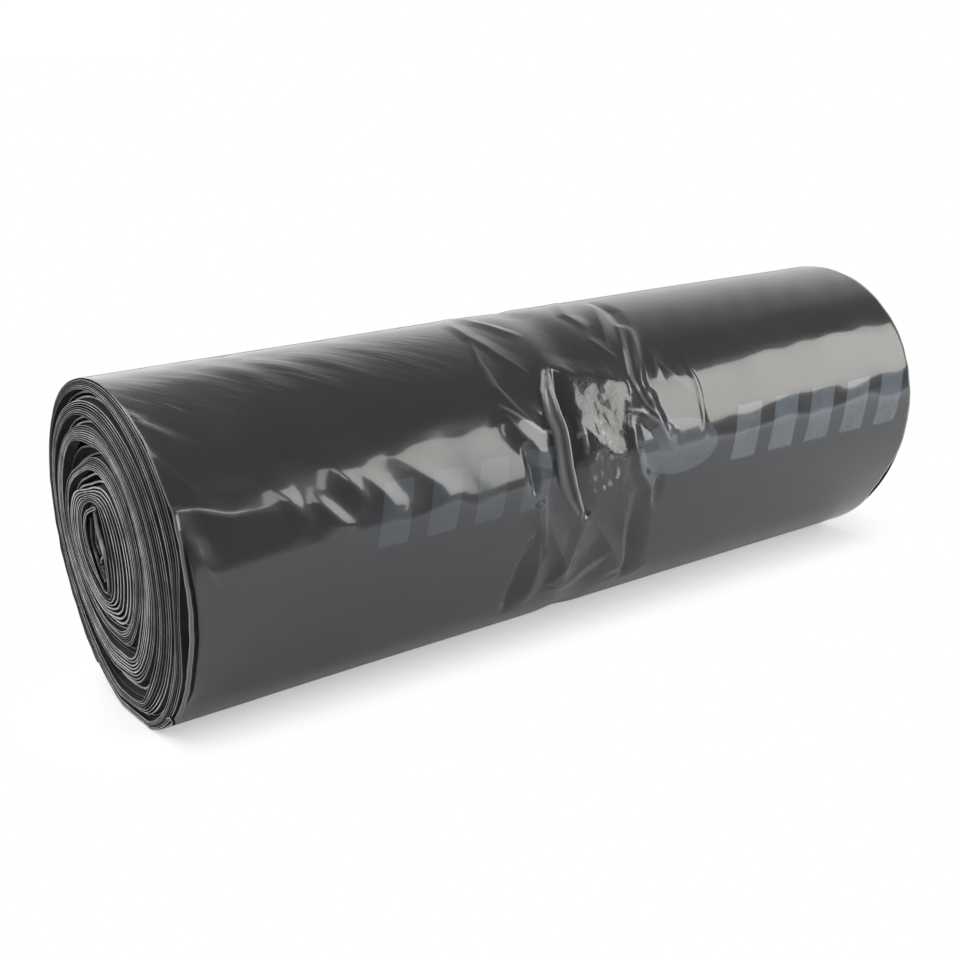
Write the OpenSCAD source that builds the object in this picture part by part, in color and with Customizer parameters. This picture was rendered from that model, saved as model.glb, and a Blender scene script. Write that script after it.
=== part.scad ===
// Roll of large bin bags: black film wound flat, without a core, lying on its side.
// X runs along the roll from its near end, the front is toward -Y and Z is up.
// The origin is on the resting surface, below the middle of the roll's box.
// Places on the roll's side are given as [x from the middle, degrees from the top toward the front].

/* [Roll] */
// Length of the roll
roll_l = 350; // [300:5:450]
// Width across the middle of the roll
roll_w = 112; // [96:1:130]
// Height of the lying roll
roll_h = 120; // [100:1:140]
// Width of the flat that the roll rests on
flat_w = 26; // [20:1:36]
// Growth of the roll's half thickness from its middle to its far end
far_swell = 0.6; // [0:0.1:2]
// Growth of the half width at the roll's shoulders
shoulder = 4; // [0:0.5:6]
// Bow of the roll's middle toward the back
bow = 1; // [0:0.5:4]
// Lean of the near end's top toward the back
near_lean = 7; // [-10:0.5:10]
// Lean of the far end's top toward the back
far_lean = -3; // [-10:0.5:10]

/* [Film] */
// Height of the step at the free end of the outer film
tail_step = 0.8; // [0.2:0.1:1.5]
// Angle of the free end of the outer film, at the back near the floor
tail_at = 216; // [210:1:240]

/* [Winding] */
// Turns that show on each end
turns = 16; // [8:1:17]
// Opening between one turn and the next
turn_gap = 0.7; // [0.4:0.1:0.9]
// Depth of the openings between the turns
turn_depth = 4; // [2:0.5:8]
// Width of the collapsed hole in the middle of the winding
core_w = 5; // [3:0.5:8]
// Height of the collapsed hole
core_h = 28; // [16:1:36]
// Tilt of the collapsed hole, its top toward the back
core_tilt = 29; // [-40:1:40]
// Distance of the hole behind the middle of the roll
core_back = 15; // [-18:1:18]
// Distance of the hole below the middle of the roll
core_drop = 3; // [-10:1:10]
// Width of the loose gap below the outer film at the front
loose_gap = 2.4; // [1:0.1:2.6]

/* [Gather] */
// Distance from the roll's middle to which the gathers reach
gather_reach = 60; // [45:1:80]
// Width of the bonded band at the middle
band_w = 26; // [16:1:36]
// Depth of the bonded band
band_depth = 0.8; // [0:0.1:2]
// Height of the pleat that stands beside the bonded band
pleat_h = 6; // [2:0.5:8]
// Height of the sharp folds round the band
fold_h = 1.6; // [0.5:0.1:3]
// Height of the soft buckles along the roll
buckle_h = 0.8; // [0:0.1:1.5]

/* [Hidden] */

half_l = roll_l / 2;

// The flat cuts the oval below its middle, so the oval is a little higher than the roll
flat_share = sqrt(1 - pow(flat_w / roll_w, 2));
oval_h = roll_h / (1 + flat_share);
flat_cut = oval_h * (1 - flat_share);

// Stretches along the roll and round it, each [from, to, steps], close together at the gathers
fine_reach = gather_reach * 0.7;
along = [
    [-half_l, -gather_reach, 12], [-gather_reach, -fine_reach, 3],
    [-fine_reach, fine_reach, 28],
    [fine_reach, gather_reach, 3], [gather_reach, half_l, 6]
];
around = [[0, 40, 8], [40, 100, 15], [100, 145, 9], [145, tail_at, 7], [tail_at + 1, 360, 18]];

// Sharp folds of the gather, each [share of fold_h, half width, [places on its crest]]
sharp_folds = [
    [0.6, 5, [[-25, -10], [-33, 5], [-33, 15], [-28, 28], [-22, 38]]],
    [0.6, 5, [[-23, -10], [-22, 5], [-17, 14], [-13, 20]]],
    [0.6, 4, [[-34, 22], [-38, 34], [-37, 46], [-30, 58]]],
    [1.0, 3, [[-39, 53], [-31, 60], [-22, 64]]],
    [-0.8, 3, [[-37, 66], [-35, 76], [-33, 84]]],
    [0.7, 4, [[-30, 86], [-28, 98], [-20, 109], [-15, 128]]],
    [-1.0, 4, [[-33, 98], [-39, 112], [-39, 128], [-35, 138]]],
    [0.8, 4, [[-31, 106], [-29, 120], [-29, 134]]],
    [0.6, 5, [[30, -10], [22, 0], [17, 10], [18, 20]]],
    [0.7, 5, [[36, 5], [27, 20], [20, 35]]],
    [0.8, 4, [[32, 26], [25, 42], [22, 52], [25, 63]]],
    [1.0, 4, [[28, 57], [28, 66], [31, 74]]],
    [0.8, 4, [[16, 64], [16, 78], [22, 88], [24, 97]]],
    [-0.9, 5, [[14, 95], [15, 108], [20, 122], [26, 136]]],
    [0.9, 8, [[-10, 130], [-2, 116], [6, 113], [15, 126]]],
    [0.5, 3, [[51, 44], [53, 56], [51, 78]]]
];

// The same kind of folds carried on round the unseen back, every back_pitch degrees
back_pitch = 24;
back_folds = [
    for (a = [210 : back_pitch : 340]) each [
        [0.8, 5, [[-24, a - 14], [-33, a], [-20, a + 16]]],
        [0.8, 5, [[26, a - 8], [19, a + 6], [32, a + 20]]]
    ]
];

// The standing pleat, with its half width along the roll
pleat_half_w = 3.4;
pleat_route = [[-13, 42], [-18, 54], [-18, 74], [-15, 90]];

// Soft slanting buckles between the near end and the gather, as sharp_folds
soft_buckles = [
    [1.0, 9, [[-140, 58], [-124, 78]]],
    [1.0, 9, [[-118, 52], [-96, 76]]],
    [0.9, 9, [[-92, 60], [-68, 78]]],
    [0.9, 10, [[-132, 4], [-108, 32]]],
    [0.8, 10, [[-104, 6], [-82, 34]]],
    [0.8, 9, [[-172, 24], [-156, 42]]],
    [0.8, 9, [[-172, 66], [-158, 90]]]
];

// Gaps where bundles of turns part at the ends, each [share from hole to rim, angle, opening]
pocket_spread = 22;
pockets = [
    [0.24, 350, 1.4], [0.5, 352, 1.4], [0.7, 340, 1.2],
    [0.33, 190, 1.4], [0.5, 186, 1.4], [0.7, 178, 1.2], [0.88, 152, 1.2]
];
loose_at = 104;

// Points round one turn of the winding
turn_points = 24;

// How far a place lies from a line between two places, with a degree as long as a millimetre
function line_gap(p, a, b) =
    let (d = b - a, s = max(0, min(1, (p - a) * d / (d * d)))) norm(p - a - d * s);

function route_gap(p, route) =
    min([for (i = [0 : len(route) - 2]) line_gap(p, route[i], route[i + 1])]);

// A ridge that falls from 1 on its crest to 0 at its foot
function ridge(gap, half_w) = gap < half_w ? pow(1 - gap / half_w, 1.3) : 0;

function folds_at(p, folds) =
    sum_of([for (f = folds) f[0] * ridge(route_gap(p, f[2]), f[1])]);

function sum_of(list) = len(list) == 0 ? 0 : list * [for (i = list) 1];

// Angles past the top on the back count as negative ones, so folds run on over the top
function from_top(a) = a > 340 ? a - 360 : a;

function band_at(x) = abs(x) < band_w / 2 ? pow(cos(180 * x / band_w), 2) : 0;

function tail_rise(a) = a > tail_at && a < tail_at + 70 ? tail_step * (1 - (a - tail_at) / 70) : 0;

// Height of the film's surface over the plain oval
function relief(x, a) =
    let (p = [x, from_top(a)], q = [x, a])
    tail_rise(a) - band_depth * band_at(x)
    + fold_h * (folds_at(p, sharp_folds) + folds_at(q, back_folds))
    + buckle_h * folds_at(p, soft_buckles)
    + pleat_h * ridge(route_gap(p, pleat_route), pleat_half_w);

// The plain oval at x, moved out by a rise, before the roll's flat is cut
function oval(x, a, rise = 0) =
    let (
        t = x / half_l,
        hw = roll_w / 2 + far_swell * t + rise,
        hh = oval_h + far_swell * t + rise,
        lean = (near_lean * (1 - t) + far_lean * (1 + t)) / 2
    )
    [
        -hw * sin(a) * (1 + shoulder / roll_w * 2 * cos(a)) + lean * cos(a) + bow * (1 - t * t),
        oval_h + far_swell * t - flat_cut + hh * cos(a)
    ];

function on_flat(p) = [p[0], max(0, p[1])];

stations = concat([for (r = along) for (i = [0 : r[2] - 1]) r[0] + (r[1] - r[0]) * i / r[2]], [half_l]);
angles = [for (r = around) for (i = [0 : r[2] - 1]) r[0] + (r[1] - r[0]) * i / r[2]];
rim_n = len(angles);
sections = [for (x = stations) [for (a = angles) on_flat(oval(x, a, relief(x, a)))]];

// Sideways move that puts the origin below the middle of the box
side_y = [for (s = sections) for (p = s) p[0]];
mid_y = (min(side_y) + max(side_y)) / 2;

function skin_points() = [
    for (i = [0 : len(stations) - 1]) for (p = sections[i]) [stations[i], p[0] - mid_y, p[1]]
];

function skin_faces() = concat(
    [[for (j = [0 : rim_n - 1]) j]],
    [
        for (i = [0 : len(stations) - 2]) for (j = [0 : rim_n - 1])
            let (k = (j + 1) % rim_n, a = i * rim_n + j, b = i * rim_n + k)
            each [[a, a + rim_n, b], [b, a + rim_n, b + rim_n]]
    ],
    [[for (j = [rim_n - 1 : -1 : 0]) (len(stations) - 1) * rim_n + j]]
);

// The hole's outline, worked round in step with the rim's
function core(a) =
    let (y = -core_w / 2 * sin(a), z = core_h / 2 * cos(a))
    [
        core_back - mid_y + y * cos(core_tilt) + z * sin(core_tilt),
        roll_h / 2 - core_drop - y * sin(core_tilt) + z * cos(core_tilt)
    ];

function rim(x, a) = on_flat(oval(x, a)) - [mid_y, 0];

function angle_between(a, b) = abs((a - b + 540) % 360 - 180);

// Extra opening of the winding at a share of the way out and an angle
function pocket_at(share, a) = sum_of([
    for (p = pockets)
        abs(share - p[0]) * turns < 0.5 ? p[2] * ridge(angle_between(a, p[1]), pocket_spread) : 0
]) + (share * turns > turns - 2 ? (loose_gap - turn_gap) * ridge(angle_between(a, loose_at), 26) : 0);

// A point of the winding at x, where share 0 is the hole and share 1 is the rim
function winding(x, share, a) = core(a) * (1 - share) + rim(x, a) * share;

// One edge of the opening between the turns, side -1 toward the hole and 1 toward the rim
function gap_edge(x, side) = [
    for (i = [0 : (turns - 2) * turn_points])
        let (
            a = 360 * i / turn_points,
            share = (1 + i / turn_points) / turns,
            reach = norm(rim(x, a) - core(a)),
            opening = turn_gap + pocket_at(share, a % 360)
        )
        winding(x, share + side * opening / 2 / reach, a)
];

function reversed(list) = [for (i = [len(list) - 1 : -1 : 0]) list[i]];

module extrude_along_x(from, length) {
    translate([from, 0, 0]) rotate([90, 0, 90]) linear_extrude(length) children();
}

module turn_openings(x) {
    extrude_along_x(x - turn_depth, 2 * turn_depth)
        polygon(concat(gap_edge(x, 1), reversed(gap_edge(x, -1))));
}

module collapsed_hole() {
    extrude_along_x(-roll_l, 2 * roll_l)
        polygon([for (i = [0 : turn_points - 1]) core(360 * i / turn_points)]);
}

module bag_roll() {
    color([0.16, 0.165, 0.175])
        difference() {
            polyhedron(skin_points(), skin_faces());
            collapsed_hole();
            turn_openings(-half_l);
            turn_openings(half_l);
        }
}

bag_roll();
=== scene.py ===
import math
import random
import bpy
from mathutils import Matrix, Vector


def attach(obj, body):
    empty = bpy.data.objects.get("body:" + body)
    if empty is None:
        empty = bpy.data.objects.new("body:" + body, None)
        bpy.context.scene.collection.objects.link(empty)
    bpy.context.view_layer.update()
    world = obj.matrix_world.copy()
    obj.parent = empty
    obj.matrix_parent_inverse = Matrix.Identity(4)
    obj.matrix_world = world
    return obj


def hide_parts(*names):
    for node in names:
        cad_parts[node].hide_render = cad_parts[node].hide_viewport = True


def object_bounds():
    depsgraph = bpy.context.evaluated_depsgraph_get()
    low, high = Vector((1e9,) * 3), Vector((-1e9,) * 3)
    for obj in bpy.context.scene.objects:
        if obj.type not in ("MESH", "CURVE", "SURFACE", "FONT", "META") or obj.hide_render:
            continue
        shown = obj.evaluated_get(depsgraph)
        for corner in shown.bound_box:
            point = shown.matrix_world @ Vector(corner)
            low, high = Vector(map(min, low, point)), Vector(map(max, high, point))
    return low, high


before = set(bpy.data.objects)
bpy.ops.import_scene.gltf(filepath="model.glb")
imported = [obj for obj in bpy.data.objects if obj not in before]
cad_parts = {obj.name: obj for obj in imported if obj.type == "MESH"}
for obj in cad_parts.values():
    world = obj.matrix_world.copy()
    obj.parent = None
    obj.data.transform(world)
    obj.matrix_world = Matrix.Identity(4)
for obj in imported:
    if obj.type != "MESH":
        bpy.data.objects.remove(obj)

from types import SimpleNamespace

import bmesh
import bpy
import numpy as np
from mathutils import Matrix, Vector, noise

# Bin bag roll: glossy black film wound flat, on its side, gathered round the middle.
# Sizes are millimetres and degrees until a point is placed. Degrees count round the roll
# from its top toward the front, and x counts along the roll from its middle.

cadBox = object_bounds()
mm = 0.001
halfLength = (cadBox[1].x - cadBox[0].x) / 2 / mm

roll = {
    "width": 112,
    "height": 120,
    "flatWidth": 26,
    "farSwell": 0.6,      # how much half thickness grows toward the far end
    "shoulder": 4,        # extra half width above the middle
    "bow": 1,
    "nearLean": 7,
    "farLean": -3,
    "tailAngle": 216,     # free end of the outer film, low on the back
    "tailStep": 0.8,
    "tailFade": 70,       # degrees over which the step sinks away
}


def sind(a):
    return np.sin(np.radians(a))


def cosd(a):
    return np.cos(np.radians(a))


flatShare = math.sqrt(1 - (roll["flatWidth"] / roll["width"]) ** 2)
ovalHeight = roll["height"] / (1 + flatShare)
flatCut = ovalHeight * (1 - flatShare)


def ovalPoint(x, a, rise):
    # the plain oval section, moved out by rise, before the flat is pressed into it
    t = x / halfLength
    hw = roll["width"] / 2 + roll["farSwell"] * t + rise
    hh = ovalHeight + roll["farSwell"] * t + rise
    lean = (roll["nearLean"] * (1 - t) + roll["farLean"] * (1 + t)) / 2
    y = -hw * sind(a) * (1 + roll["shoulder"] / roll["width"] * 2 * cosd(a)) + lean * cosd(a)
    y = y + roll["bow"] * (1 - t * t)
    z = ovalHeight + roll["farSwell"] * t - flatCut + hh * cosd(a)
    return y, z


# The frame's origin is under the middle of the box, so the section moves sideways to match
xScan, aScan = np.meshgrid(np.linspace(-halfLength, halfLength, 61), np.arange(0, 360, 1.0))
sideShift = cadBox[1].y / mm - ovalPoint(xScan, aScan, 0)[0].max()


def placed(x, y, z):
    return np.stack([x, y + sideShift, np.maximum(z, 0)], -1) * mm


def smooth(lo, hi, v):
    t = np.clip((v - lo) / (hi - lo), 0, 1)
    return t * t * (3 - 2 * t)


def waves(u, v, seed):
    # smooth noise for whole arrays of places
    flat = [
        noise.noise(Vector((p, q, seed)))
        for p, q in zip(np.ravel(u).tolist(), np.ravel(v).tolist())
    ]
    return np.array(flat).reshape(np.shape(u))


def meshObject(name, bm):
    mesh = bpy.data.meshes.new(name)
    bm.to_mesh(mesh)
    bm.free()
    piece = bpy.data.objects.new(name, mesh)
    bpy.context.collection.objects.link(piece)
    return piece


def gridPiece(name, columns, rows, shape, flip, paintedShadeFaces=None, left=None):
    # a bmesh grid whose points are moved by shape(column, row), given as whole numbers;
    # flip turns the faces outward, faces take the second material, a painted shade for recessed film,
    # where the given test of (column, row) is true, and go where left(column) is true
    bm = bmesh.new()
    uvLayer = bm.loops.layers.uv.new("filmMap")
    bmesh.ops.create_grid(bm, x_segments=columns - 1, y_segments=rows - 1, size=1)
    bm.verts.ensure_lookup_table()
    flat = np.array([v.co[:2] for v in bm.verts])
    col = np.rint((flat[:, 0] + 1) / 2 * (columns - 1)).astype(int)
    row = np.rint((flat[:, 1] + 1) / 2 * (rows - 1)).astype(int)
    points, mapU, mapV, extras = shape(col, row)
    for v, p in zip(bm.verts, points):
        v.co = p
    for face in bm.faces:
        face.smooth = True
        if paintedShadeFaces:
            corners = [v.index for v in face.verts]
            face.material_index = int(paintedShadeFaces(min(col[i] for i in corners), min(row[i] for i in corners)))
        for loop in face.loops:
            i = loop.vert.index
            loop[uvLayer].uv = (mapU[i], mapV[i])
    if flip:
        bmesh.ops.reverse_faces(bm, faces=bm.faces)
    if left:
        spare = [f for f in bm.faces if left(min(col[v.index] for v in f.verts))]
        bmesh.ops.delete(bm, geom=spare, context="FACES_ONLY")
    piece = meshObject(name, bm)
    for key, values in extras.items():
        layer = piece.data.attributes.new(key, "FLOAT", "POINT")
        layer.data.foreach_set("value", np.asarray(values, dtype=np.float32))
    return piece


def stationList(stretches):
    # places along a line, from stretches of [from, to, step]
    places = []
    for lo, hi, step in stretches:
        count = max(1, round((hi - lo) / step))
        places += list(np.linspace(lo, hi, count, endpoint=False))
    return np.array(places + [stretches[-1][1]])


# Outer film

outerFilm = {
    "lipRound": 0.8,
    # the cut edge as it shows inside: how far each row runs back, and how far it drops
    "lipTuck": [0, 0.15, 0.35, 1.5, 4.0, 9],
    "lipDrop": [0, 0.12, 0.35, 0.40, 0.42, 0.45],
    "edgeBend": 0.12,
    "edgeInset": 0.6,       # how far in the cut edge lies, and its slow and quick unevenness
    "edgeUneven": (0.5, 0.25),
    "edgeReach": 14,
    "drawnBack": 3.2,       # low at the front of the far end the edge draws back further
    "underlap": 14,         # degrees that the film runs on under its own free end
    "underDrop": 0.25,
    "bandWidth": 26,
    "bandDepth": 0.8,
    "restShare": 0.85,      # how much the folds flatten underneath
    "crumple": 0.17,
    "crestRound": 0.25,
    "backRound": 1.8,       # crests on the back are rounder, because rows are wider apart there
    "paintedHighlightWidth": 0.55,
    "paintedHighlightShare": 0.62,
    "finHeight": 5.8,
    "finReach": 3.2,
}

# The film's grid, as stretches of from, to and step: it is finest where the folds are
filmGrid = {
    "columns": [
        (-halfLength, -171, 0.3), (-171, -162, 1.0), (-162, -60, 2.3), (-60, -43, 1.1), (-43, -25, 0.5),
        (-25, -10, 0.32), (-10, 40, 0.6), (40, 56, 1.0), (56, 165, 3.2), (165, halfLength, 1.1),
    ],
    "rows": [
        (roll["tailAngle"] - 360, -12, 2.0), (-12, 145, 0.84),
        (145, roll["tailAngle"] + outerFilm["underlap"], 2.4),
    ],
}

# Stretches of the film, along or round the roll: nothing at the first value, full from the
# second to the third, and nothing again at the last
filmZones = {
    "resting": (124, 140, 150, 168),
    "drawnBack": (100, 117, 124, 138),
    "paintedEdgeHighlight": (5, 25, 165, 185),
    "streaks": (-20, 0, 15, 50),
    "looseLeft": (-110, -90, -60, -44),
    "looseFront": (25, 42, 80, 95),
    "matt": (36, 44, 84, 94),
    "bonded": (34, 42, 88, 98),
}


def zone(name, v):
    start, full, fullEnd, end = filmZones[name]
    return smooth(start, full, v) * smooth(end, fullEnd, v)


# Unevenness of the film: its height, its lengths along and round the roll, and a seed
filmWaves = {
    "slack": (0.10, 26, 9, 3.1),
    "broad": (0.20, 70, 34, 9.4),
    "loose": (0.22, 15, 8, 23.6),
    "streak": (0.16, 8, 44, 6.2),
    "bonded": (0.20, 4.5, 6.5, 27.3),
    "fineBonded": (0.10, 2.2, 3.2, 29.1),
    "patch": (1, 2.2, 3.0, 14.0),       # in the crumpled patches, as shares of their height
    "finePatch": (0.7, 1.1, 1.5, 17.0),
}


def uneven(name, x, a):
    height, along, around, seed = filmWaves[name]
    return height * waves(x / along, a / around, seed)


# Folds that fan out of the bonded band. Each is height, then its width on the left and on the
# right while following the crest, the crest's places as (x, degrees), and how strongly a
# highlight is painted along the crest.
gatherFolds = [
    # top left
    (0.7, 4, 5, [(-25, -12), (-33, 4), (-33, 15), (-28, 28), (-21, 39)], 0.45),
    (0.8, 5, 3, [(-24, -12), (-22, 4), (-17, 14), (-12, 21)], 0.3),
    (0.5, 2.5, 6, [(-34, 18), (-38, 30), (-38, 42), (-34, 52), (-29, 59)], 0.35),
    # left of the fin
    (1.5, 12, 6, [(-41, 49), (-34, 56), (-27, 62), (-22, 62.5), (-20, 59)], 0.7),
    (0.8, 6, 5, [(-40, 53), (-36, 61), (-30, 68), (-23, 72)], 0.3),
    (-1.0, 2.5, 3.5, [(-36, 64), (-34.8, 73), (-34.5, 83)], 0),
    (0.5, 5, 4, [(-29, 84), (-30, 93), (-28, 105)], 0.25),
    # lower left
    (0.8, 5, 5, [(-33, 86), (-31, 100)], 0.1),
    (1.7, 7, 6, [(-27, 92), (-25, 100), (-19, 109), (-16, 118), (-15, 129)], 0.1),
    (-2.6, 3, 8, [(-32, 96), (-38, 110), (-39, 126), (-36, 138)], 0),
    (1.0, 6, 5, [(-31, 98), (-29, 116), (-29, 134)], 0.15),
    (2.2, 4, 11, [(-9, 97), (-13, 104), (-17, 113), (-20, 124)], 0.15),
    (1.0, 8, 5, [(-5, 98), (2, 106), (10, 116), (18, 126)], 0.1),
    (2.0, 8, 8, [(-16, 132), (-5, 119), (5, 113), (13, 120), (18, 130)], 0.1),
    # lower right
    (-3.0, 3, 9, [(15, 90), (15.5, 106), (19, 122), (24, 136)], 0),
    (0.9, 5, 3, [(10, 96), (12, 112), (17, 128)], 0.25),
    (1.6, 4, 4, [(16, 62), (15, 74), (17, 84), (22, 90), (24, 100)], 0.4),
    (-1.4, 3, 2.5, [(28, 86), (24, 98)], 0),
    (0.9, 5, 5, [(12, 139), (20, 133), (28, 137), (36, 130)], 0),
    # right of the band
    (1.6, 4, 7, [(14, 60), (21, 62), (27, 67), (31, 73)], 0.8),
    (0.8, 1.6, 10, [(34, 22), (27, 37), (22, 49), (24, 60), (28, 66)], 0.6),
    (0.9, 2, 3, [(37, 26), (31, 38), (26, 50), (26, 58)], 0.2),
    (1.5, 4, 4, [(28, 54), (27, 62), (29, 70), (32, 74), (35, 69)], 0.6),
    (0.6, 5, 5, [(34, 52), (38, 42), (43, 51), (49, 57)], 0.15),
    # top right
    (0.9, 4, 5, [(30, -12), (22, 0), (17, 10), (19, 22)], 0.35),
    (1.0, 5, 5, [(38, 0), (28, 18), (20, 35)], 0.25),
    (-1.1, 4, 5, [(38, 0), (38, 13), (34, 24)], 0),
    (0.5, 3, 3, [(15, 27), (21, 39)], 0.35),
    (0.4, 1.6, 1.6, [(51, 42), (53, 56), (51, 79)], 0),
    # across the band, and the valley beside the fin
    (1.5, 13, 8, [(-15, 36), (-5, 42), (8, 47), (20, 51)], 0),
    (0.7, 9, 9, [(-6, -14), (2, -4), (8, -16)], 0),
    (-2.0, 3, 11, [(-12.5, 40), (-14, 60), (-13.5, 78), (-9, 96)], 0),
    (-3.4, 1.8, 6, [(-11, 39), (-14, 55), (-14.2, 75), (-12.5, 86), (-9, 97)], 0),
    (1.1, 10, 6, [(-11, 57), (-4, 66), (4, 74), (11, 80)], 0),
    (0.4, 1.2, 1.2, [(-8.6, 59), (-7.6, 73)], 0.4),
]

# The same kind of folds on the back and underneath, which the photo doesn't show
backFold = {
    "seed": 7,
    "angles": range(-150, -24, 9),
    "start": (9, 15),
    "far": (24, 42),
    "height": (0.5, 1.3),
    "lean": (-9, 9),
    "shift": (-4, 4),
    "width": (4, 8),
}


def backFolds():
    spread = random.Random(backFold["seed"])
    folds = []
    for around in backFold["angles"]:
        for side in (-1, 1):
            start, far, height, lean, shift = (
                spread.uniform(*backFold[key]) for key in ("start", "far", "height", "lean", "shift")
            )
            left, right = spread.uniform(*backFold["width"]), spread.uniform(*backFold["width"])
            crest = [
                (side * start, around + shift),
                (side * (start + far) / 2, around + lean * 0.4),
                (side * far, around + lean),
            ]
            folds.append((height, left, right, crest, 0))
    return folds


# Slack buckles in the film between the near end and the gather; some have a highlight painted along the
# crest
slackFolds = [
    (0.5, 9, 5, [(-141, 57), (-126, 76)], 0),
    (0.5, 7, 4, [(-126, 66), (-112, 80)], 0),
    (0.6, 8, 4, [(-118, 52), (-104, 73)], 0),
    (0.5, 7, 4, [(-112, 54), (-91, 77)], 0),
    (0.4, 8, 5, [(-92, 58), (-66, 78)], 0),
    (0.5, 9, 7, [(-136, 2), (-112, 32)], 0),
    (0.5, 8, 7, [(-120, 4), (-96, 33)], 0),
    (0.4, 8, 7, [(-104, 4), (-82, 32)], 0),
    (0.24, 3, 6, [(-178, 16), (-169, 30), (-154, 45)], 0.08),
    (0.22, 3, 6, [(-177, 34), (-169, 50), (-158, 64)], 0.04),
    (0.75, 8, 7, [(-179, 60), (-165, 63), (-155, 66.5), (-148, 66.5), (-137, 68)], 0.25),
    (0.5, 5, 6, [(-176, 60), (-169, 76), (-162, 88)], 0.1),
    (0.35, 6, 7, [(-168, 122), (-160, 138)], 0),
]

# The near end's edge stands off the wound turns: a rounded ridge with a dark crease behind it, and a
# highlight painted along the ridge
edgeFolds = [
    (0.9, 0.9, 0.9,
     [(-174.4, 62), (-174.1, 76), (-173.9, 90), (-173.8, 104), (-173.6, 122), (-173, 144)], 0.5),
    (-1.9, 0.7, 0.8, [(-173.2, 68), (-172.9, 88), (-172.6, 100), (-172.6, 112), (-172.3, 142)], 0),
    (0.6, 1.2, 4.0, [(-171.4, 74), (-171.0, 98), (-170.8, 116), (-170.4, 138)], 0),
]

# Crumpled patches where the film is bonded: x, degrees, reach
bondPatches = [
    (-1, 20, 1.6), (-1, 28, 1.5), (2, 33, 1.6), (-6, 46, 1.3), (3, 47, 1.6), (5, 55, 1.6), (3.5, 59, 1.5),
    (0, 66, 4.4), (4, 73, 3.4), (-3, 75, 2.2), (-2, 85, 4.4), (5, 84, 3.6), (-8, 66, 1.8),
]


def alongFold(x, a, fold):
    # height of one fold and the highlight painted along its crest, over each place: steep at the crest,
    # fading at its ends
    height, left, right, crest, pale = fold
    crest = np.array(crest, float)
    reach = 1 + max(left, right)
    lo = crest.min(0) - reach
    hi = crest.max(0) + reach
    near = (x > lo[0]) & (x < hi[0]) & (a > lo[1]) & (a < hi[1])
    out, line = np.zeros_like(x), np.zeros_like(x)
    px, pa = x[near], a[near]
    best = np.full(px.shape, 1e9)
    side = np.zeros(px.shape)
    share = np.zeros(px.shape)
    lengths = np.linalg.norm(np.diff(crest, axis=0), axis=1)
    ends = np.concatenate([[0], np.cumsum(lengths)])
    for i, length in enumerate(lengths):
        d = (crest[i + 1] - crest[i]) / length
        t = (px - crest[i, 0]) * d[0] + (pa - crest[i, 1]) * d[1]
        off = (px - crest[i, 0]) * d[1] - (pa - crest[i, 1]) * d[0]
        tc = np.clip(t, 0, length)
        gap = np.hypot(off, t - tc)
        closer = gap < best
        best = np.where(closer, gap, best)
        side = np.where(closer, off, side)
        share = np.where(closer, (ends[i] + tc) / ends[-1], share)
    width = np.where(side > 0, right, left)
    # broad folds have rounder crests, and so have those on the back
    sharp = outerFilm["crestRound"] + 0.07 * min(left, right) + 0.08 * abs(height)
    if crest[:, 1].mean() < -20:
        sharp = sharp + outerFilm["backRound"]
    profile = np.clip(1 - (np.sqrt(best ** 2 + sharp ** 2) - sharp) / width, 0, 1) ** 1.4
    fade = np.clip(np.sin(np.pi * share), 0, 1) ** 0.6
    out[near] = height * profile * fade
    line[near] = outerFilm["paintedHighlightShare"] * pale * fade * np.exp(-(best / outerFilm["paintedHighlightWidth"]) ** 2)
    return out, line


def tailRise(fromTail):
    # the step at the film's free end, which sinks away as the film goes on round
    return roll["tailStep"] * np.clip(1 - fromTail / roll["tailFade"], 0, 1)


# The fin: a pinched strip of film that stands up beside the band
finRoute = {
    "angles": [38, 42, 47, 52, 57, 75, 82, 87, 92, 95],
    "foot": [-12.5, -15, -18, -19.4, -20.2, -20.2, -19, -17, -13.5, -11],
    "height": [0, 0.30, 0.66, 0.86, 0.98, 1.0, 0.98, 0.85, 0.5, 0],
    "tip": (-12.3, 92, 1.3),    # a painted highlight where it ends: x, degrees, reach
}

# The fin's cross-section: u runs over the film that makes it, up is a share of its height, and pale is a
# highlight painted on its crest and lit left flank, while its shaded right flank stays dark
finSection = {
    "u": [-1, -0.8, -0.62, -0.4, -0.22, -0.1, 0, 0.1, 0.22, 0.4, 0.62, 0.8, 1],
    "sideways": [-3.2, -2.1, -1.4, -1.0, -0.75, -0.40, 0, 0.40, 0.62, 0.75, 1.0, 1.7, 3.2],
    "up": [0, 0.06, 0.25, 0.60, 0.88, 0.98, 1, 0.97, 0.86, 0.62, 0.36, 0.20, 0],
    "pale": [0, 0.25, 0.55, 0.12, 0.2, 0.35, 1, 1, 0.15, 0, 0, 0, 0],
}


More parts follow.
